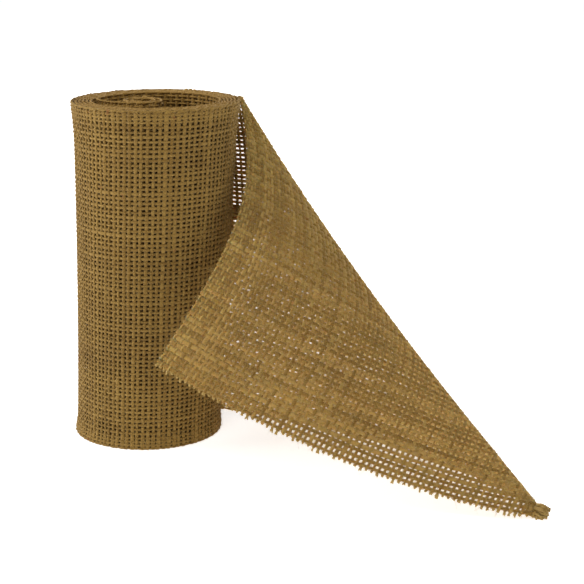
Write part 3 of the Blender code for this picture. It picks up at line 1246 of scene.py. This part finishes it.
@dataclass
class RibbonRoll:
    """The ribbon from its inner end to its cut end, woven as one stretch after another."""

    route: RibbonRoute
    weft_pitch: float = 0.002535
    curl_wefts: int = 42
    neck_wefts: int = 15
    tail_wefts: int = 57
    next_weft: int = 0
    runs: dict[str, list[YarnRun]] = field(default_factory=dict)
    pieces: dict[str, bpy.types.Object] = field(default_factory=dict)

    def __post_init__(self) -> None:
        """Works out where the ribbon lies and how many wefts each stretch has."""
        self.shift = self.route.shift
        turns = self.route.turns
        self.stretches = [
            self.numbered(Stretch("inner_curl_cloth", self.curl_place, 0, self.curl_wefts, 4)),
            self.turned("hollow_turn", 0.0, 1.0, 4),
            self.turned("middle_turns", 1.0, turns - 2.0, 4, Weave.HEMS),
            self.turned("under_turn_back", turns - 2.0, turns - 1.5, 4),
            self.turned("under_turn_front", turns - 1.5, turns - 1.0, 4),
            self.turned("outer_turn_back", turns - 1.0, turns - 0.5, 6),
            self.turned("outer_turn_front", turns - 0.5, turns, 6),
            self.numbered(
                Stretch("neck_cloth", self.neck_place, 0, self.neck_wefts, 6, full=1.3, full_behind=1.3)
            ),
            self.numbered(
                Stretch(
                    "tail_cloth",
                    self.tail_place,
                    0,
                    self.tail_wefts,
                    full=1.22,
                    full_behind=1.42,
                    dense_edge=0.013,
                    # Painted backlight on the inward side of the wall's yarns.
                    painted_backlight_behind=0.7,
                )
            ),
        ]
        self.loom = Loom(self.route, self.next_weft)

    def numbered(self, stretch: Stretch) -> Stretch:
        """Gives a stretch its first weft's number, so that the next one carries on from it.

        Args:
            stretch: The stretch.

        Returns:
            The stretch with its number.
        """
        counted = replace(stretch, first_weft=self.next_weft)
        self.next_weft += stretch.wefts
        return counted

    def turned(
        self, name: str, first: float, last: float, sides: int, weave: Weave = Weave.WHOLE
    ) -> Stretch:
        """A stretch of the spiral from one turn to another, with wefts at the cloth's pitch.

        Args:
            name: The piece's name.
            first: The turn at which it starts.
            last: The turn at which it ends.
            sides: How many sides its yarns have.
            weave: How much of its width is woven.

        Returns:
            The stretch.
        """
        share = (first + last) / 2 / self.route.turns
        radius = mixed(self.route.hollow_base_radius, self.route.roll_top_radius, share)
        wefts = round((last - first) * tau * float(radius) / self.weft_pitch)

        def place(along: Array, up: Array) -> Array:
            """A place on these turns, in the frame."""
            return self.route.spiral_drawn(mixed(first, last, along), up) + self.shift

        return self.numbered(Stretch(name, place, 0, wefts, sides, weave))

    def curl_place(self, along: Array, up: Array) -> Array:
        """The curl for the first part of its length, and its lead to the spiral for the rest.

        Args:
            along: Shares along the stretch.
            up: The height shares.

        Returns:
            The points.
        """
        along, up = np.broadcast_arrays(along, up)
        curl_part = 0.66
        turn = np.clip(along / curl_part, 0, 1) * self.route.curl_turns
        share = np.clip((along - curl_part) / (1 - curl_part), 0, 1)
        curl = self.route.curl_drawn(turn, up)
        lead = self.route.lead_drawn(share, up)
        return np.where((along < curl_part)[..., None], curl, lead) + self.shift

    def neck_place(self, along: Array, up: Array) -> Array:
        """The free stretch behind the roll, up to where the fold starts."""
        return evened(self.route.neck_drawn, along, up) + self.shift

    def tail_place(self, along: Array, across: Array) -> Array:
        """The wall, the ridge and the flap."""
        return self.route.tail_drawn(along, across) + self.shift

    def length(self, stretch: Stretch) -> float:
        """The stretch's length along the ribbon, at half its width."""
        line = stretch.place(np.linspace(0, 1, 400), np.full(400, 0.5))
        return float(np.linalg.norm(np.diff(line, axis=0), axis=1).sum())

    def weave_all(self) -> None:
        """Weaves every stretch and keeps its yarns, from which fibres grow."""
        for stretch in self.stretches:
            piece, warps, wefts = self.loom.weave(stretch)
            self.pieces[stretch.name] = piece
            self.runs[stretch.name] = [warps, wefts]
            log.info("%s: %d wefts, %d faces", piece.name, stretch.wefts, len(piece.data.polygons))

    def haze(self, stretch: Stretch) -> bpy.types.Object:
        """The film of lint that lies among a stretch's yarns, as one thin sheet.

        Args:
            stretch: The stretch.

        Returns:
            The film, dressed.
        """
        along = np.arange(2 * stretch.wefts + 1) / (2 * stretch.wefts)
        ups = self.loom.ups[1:-1]
        points = stretch.place(along[:, None], ups[None])
        points[..., 2] = np.maximum(points[..., 2], FIBRE_LOWEST)
        index = np.arange(len(along) * len(ups)).reshape(len(along), len(ups))
        quads = np.stack([index[:-1, :-1], index[1:, :-1], index[1:, 1:], index[:-1, 1:]], -1)
        mesh = bpy.data.meshes.new(stretch.name.replace("_cloth", "_haze"))
        mesh.from_pydata(points.reshape(-1, 3).tolist(), [], quads.reshape(-1, 4).tolist())
        mesh.uv_layers.new(name="yarn")
        mesh.shade_smooth()
        piece = linked(mesh)
        dress(piece, LINT)
        return piece

    def backing(self) -> None:
        """Adds the hidden middle of the turns whose hems alone are woven: a plain wound strip."""
        turns = self.route.turns
        steps_along, steps_up, hem_share = 180, 9, 0.055
        along = np.linspace(1.0, turns - 2.0, steps_along)
        ups = np.linspace(hem_share, 1 - hem_share, steps_up)
        half = self.loom.deep * 0.6
        middle = self.route.spiral_drawn(along[:, None], ups[None]) + self.shift
        out = unit(np.cross(np.gradient(middle, axis=1), np.gradient(middle, axis=0)))
        skins = [middle + out * half, (middle - out * half)[:, ::-1]]
        loop = np.concatenate(skins, axis=1)
        steps, count, _ = loop.shape
        index = np.arange(steps * count).reshape(steps, count)
        after = np.roll(index, -1, axis=1)
        quads = np.stack([index[:-1], after[:-1], after[1:], index[1:]], -1).reshape(-1, 4)
        ends = [index[0, ::-1].tolist(), index[-1].tolist()]
        mesh = bpy.data.meshes.new("middle_turns_backing")
        mesh.from_pydata(loop.reshape(-1, 3).tolist(), [], quads.tolist() + ends)
        mesh.uv_layers.new(name="yarn")
        mesh.shade_smooth()
        piece = linked(mesh)
        self.pieces[piece.name] = piece


@dataclass
class CutEnd:
    """The frayed end of the tail: a tuft at each warp, and a blunt bunch of threads at the tip."""

    roll: RibbonRoll
    seed: int = 53
    strands: int = 4
    reach: float = 0.0006
    longest: float = 0.0016
    strand_wide: float = 0.00072
    bunch_strands: int = 120
    bunch_back: float = 0.0095
    bunch_high: float = 0.0050

    def tip_bunch(self) -> bpy.types.Object:
        """The thick blunt end, where the ridge and the cut end come together in a bunch.

        Returns:
            The bunch as one piece.
        """
        rng = np.random.default_rng(self.seed + 1)
        route, count = self.roll.route, self.bunch_strands
        _, _, low, tip = route.ridge()
        way = unit((tip - low) * np.array([1.0, 1.0, 0.0]))
        up = np.array([0.0, 0.0, 1.0])
        side = np.cross(way, up)
        high = rng.uniform(0.0, 1.0, (count, 1))
        tip = tip * np.array([1.0, 1.0, 0.0]) + self.roll.shift
        ahead = -0.0003 - 0.0024 * np.abs(high - 0.55) + rng.normal(0, 0.0004, (count, 1))
        end = tip + way * ahead
        end = end + up * (self.bunch_high * high) + side * rng.normal(0, 0.0011, (count, 1))
        back = self.bunch_back * rng.uniform(0.35, 1.0, (count, 1))
        root = end - way * back + side * rng.normal(0, 0.0006, (count, 1))
        root[:, 2:] = mixed(end[:, 2:], 0.0034, 0.4)
        s = np.linspace(0, 1, 6)[None, :, None]
        crook = rng.normal(0, 0.0005, (count, 1, 3)) * np.sin(pi * s)
        line = root[:, None] + (end - root)[:, None] * s + crook
        line[..., 2] = np.maximum(line[..., 2], 0.0004)
        girth = self.strand_wide * rng.uniform(0.9, 1.5, (count, 1)) * np.linspace(0.9, 1.0, 6)
        tone = np.clip(rng.normal(0.5, 0.2, (count, 1)), 0, 1) * np.ones((1, 6))
        facing = np.broadcast_to(side, line.shape)
        mesh = YarnMesh()
        mesh.add(YarnRun(line, facing, girth, girth, tone), 4)
        return mesh.make("tip_bunch")

    def tufts(self) -> bpy.types.Object:
        """The warps' free ends, each untwisted into a few short strands.

        Returns:
            The tufts as one piece.
        """
        rng = np.random.default_rng(self.seed)
        warps = self.roll.runs["tail_cloth"][0]
        end = warps.centre[:, -1]
        way = unit(warps.centre[:, -1] - warps.centre[:, -4])
        out = warps.facing[:, -1]
        own = np.clip(rng.lognormal(0, 0.55, (len(end), 1)), 0.5, 2.2)
        count = len(end) * self.strands
        end, way, out, own = (np.repeat(a, self.strands, axis=0) for a in (end, way, out, own))
        side = np.cross(out, way)
        aim = unit(way + side * rng.normal(0, 0.4, (count, 1)) + out * rng.normal(0, 0.3, (count, 1)))
        long = np.clip(self.reach * own * rng.uniform(0.7, 1.1, (count, 1)), 0.0004, self.longest)
        s = np.linspace(0, 1, 5)[None, :, None]
        droop = np.array([0.0, 0.0, -1.0]) * 0.35
        line = end[:, None] + (aim[:, None] * s + droop * s**2) * long[:, None]
        line = line + (side * rng.normal(0, 0.0002, (count, 1)))[:, None]
        line[..., 2] = np.maximum(line[..., 2], 0.0003)
        girth = self.strand_wide * rng.uniform(0.7, 1.2, (count, 1)) * np.linspace(1.1, 0.7, 5)
        tone = np.clip(rng.normal(0.75, 0.15, (count, 1)), 0, 1) * np.ones((1, 5))
        facing = np.broadcast_to(out[:, None], line.shape)
        mesh = YarnMesh()
        mesh.add(YarnRun(line, facing, girth, girth, tone), 4)
        return mesh.make("cut_end_tufts")


# Studio


@dataclass
class Studio:
    """A plain pale floor, soft light and the camera."""

    lens: float = 96.78
    eye: Triple = (0.0003, -0.6520, 0.2402)
    pitch: float = radians(14.33)

    def camera(self) -> None:
        """Adds the camera, level from side to side."""
        bpy.ops.object.camera_add(location=self.eye, rotation=(pi / 2 - self.pitch, 0, 0))
        camera = bpy.context.object
        camera.name = "studio_camera"
        camera.data.lens = self.lens
        camera.data.clip_start = 0.01
        camera.data.clip_end = 60.0
        bpy.context.scene.camera = camera

    def floor(self) -> None:
        """Adds a wide white floor that glows a little, so that it stays pale to its edge."""
        bpy.ops.mesh.primitive_circle_add(vertices=96, radius=12.0, fill_type="NGON")
        floor = bpy.context.object
        floor.name = "studio_floor"
        material = bpy.data.materials.new("white_floor")
        material.use_nodes = True
        shader = material.node_tree.nodes["Principled BSDF"]
        shader.inputs["Base Color"].default_value = (0.90, 0.90, 0.90, 1)
        shader.inputs["Roughness"].default_value = 0.9
        shader.inputs["Emission Color"].default_value = (1, 1, 1, 1)
        shader.inputs["Emission Strength"].default_value = 0.74
        floor.data.materials.append(material)

    def lamp(self, name: str, place: Triple, aim: Triple, size: float, power: float) -> None:
        """Adds a square soft lamp.

        Args:
            name: The lamp's name.
            place: Where it stands.
            aim: What it faces.
            size: Its side, in metres.
            power: Its power, in watts.
        """
        bpy.ops.object.light_add(type="AREA", location=place)
        lamp = bpy.context.object
        lamp.name = name
        lamp.data.size = size
        lamp.data.energy = power
        way = Vector(aim) - Vector(place)
        lamp.rotation_euler = way.to_track_quat("-Z", "Y").to_euler()

    def lights(self) -> None:
        """Adds the soft daylight all round and the lamps at the left, in front and behind."""
        world = bpy.data.worlds.new("white_room")
        world.use_nodes = True
        sky = world.node_tree.nodes["Background"]
        sky.inputs["Color"].default_value = (1, 1, 1, 1)
        sky.inputs["Strength"].default_value = 0.28
        bpy.context.scene.world = world
        self.lamp("side_lamp", (-1.35, 0.05, 0.45), (0.0, 0.0, 0.06), 0.8, 13.0)
        self.lamp("high_lamp", (0.0, -0.65, 1.35), (0.05, 0.0, 0.05), 0.8, 9.0)
        self.lamp("back_lamp", (0.25, 1.20, 0.80), (0.05, 0.0, 0.05), 0.8, 14.0)

    def build(self) -> None:
        """Sets the whole studio up."""
        bpy.context.scene.view_settings.view_transform = "Standard"
        self.camera()
        self.floor()
        self.lights()


def declare(roll: RibbonRoll, fibres: dict[str, list[bpy.types.Object]]) -> None:
    """Logs each stretch's piece name and its flat size.

    Args:
        roll: The woven ribbon.
        fibres: The loose fibres and the haze of some pieces, by the piece's name.
    """
    for stretch in roll.stretches:
        flat = (roll.route.width, round(roll.length(stretch), 4))
        piece = roll.pieces[stretch.name]
        extra = list(fibres.get(stretch.name, []))
        if stretch.weave is Weave.HEMS:
            extra.append(piece)
            piece = roll.pieces["middle_turns_backing"]
        log.info("%s: flat %.3f by %.3f", piece.name, *flat)


def main() -> None:
    """Builds the studio and the ribbon's pieces in order, and reports each."""
    logging.basicConfig(level=logging.INFO, format="%(message)s")
    Studio().build()
    roll = RibbonRoll(RibbonRoute())
    roll.weave_all()
    roll.backing()
    inner = (
        "inner_curl_cloth",
        "hollow_turn",
        "middle_turns",
        "middle_turns_backing",
        "under_turn_back",
        "under_turn_front",
    )
    for name, piece in roll.pieces.items():
        if name in inner:
            dress(piece, INNER_JUTE)
        elif name in ("neck_cloth", "tail_cloth"):
            dress(piece, TAIL_JUTE)
        else:
            dress(piece, ROLL_JUTE)
    rng = np.random.default_rng(FIBRE_SEED)
    tufts = CutEnd(roll).tufts()
    bunch = CutEnd(roll).tip_bunch()
    for piece in (tufts, bunch):
        dress(piece, FIBRE_JUTE)
    fibres = {name: [] for name in HAIRS}
    for kind, hairs in (("fibres", HAIRS), ("strays", STRAYS)):
        for name, hair in hairs.items():
            grown = grow_hairs(rng, roll.runs[name], hair, f"{name.replace('_cloth', '')}_{kind}")
            dress(grown, FIBRE_JUTE)
            fibres[name].append(grown)
    for stretch in roll.stretches:
        if stretch.name in STRAYS:
            fibres[stretch.name].append(roll.haze(stretch))
    on_roll = [*inner, "outer_turn_back", "outer_turn_front"]
    for name in on_roll:
        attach(roll.pieces[name], "roll")
        for grown in fibres.get(name, []):
            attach(grown, "roll")
    ahead = roll.neck_place(np.array([0.6, 0.8]), np.array([0.5, 0.5]))
    ahead = unit((ahead[1] - ahead[0]) * np.array([1, 1, 0]))
    for piece in (roll.pieces["neck_cloth"], *fibres["neck_cloth"]):
        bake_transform(piece)
    for piece in (roll.pieces["tail_cloth"], *fibres["tail_cloth"], tufts, bunch):
        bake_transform(piece)
    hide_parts("inner_curl")
    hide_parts("wound_layers")
    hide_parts("outer_wrap")
    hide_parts("tail_wall", "tail_flap")
    declare(roll, fibres)


if __name__ == "__main__":
    main()
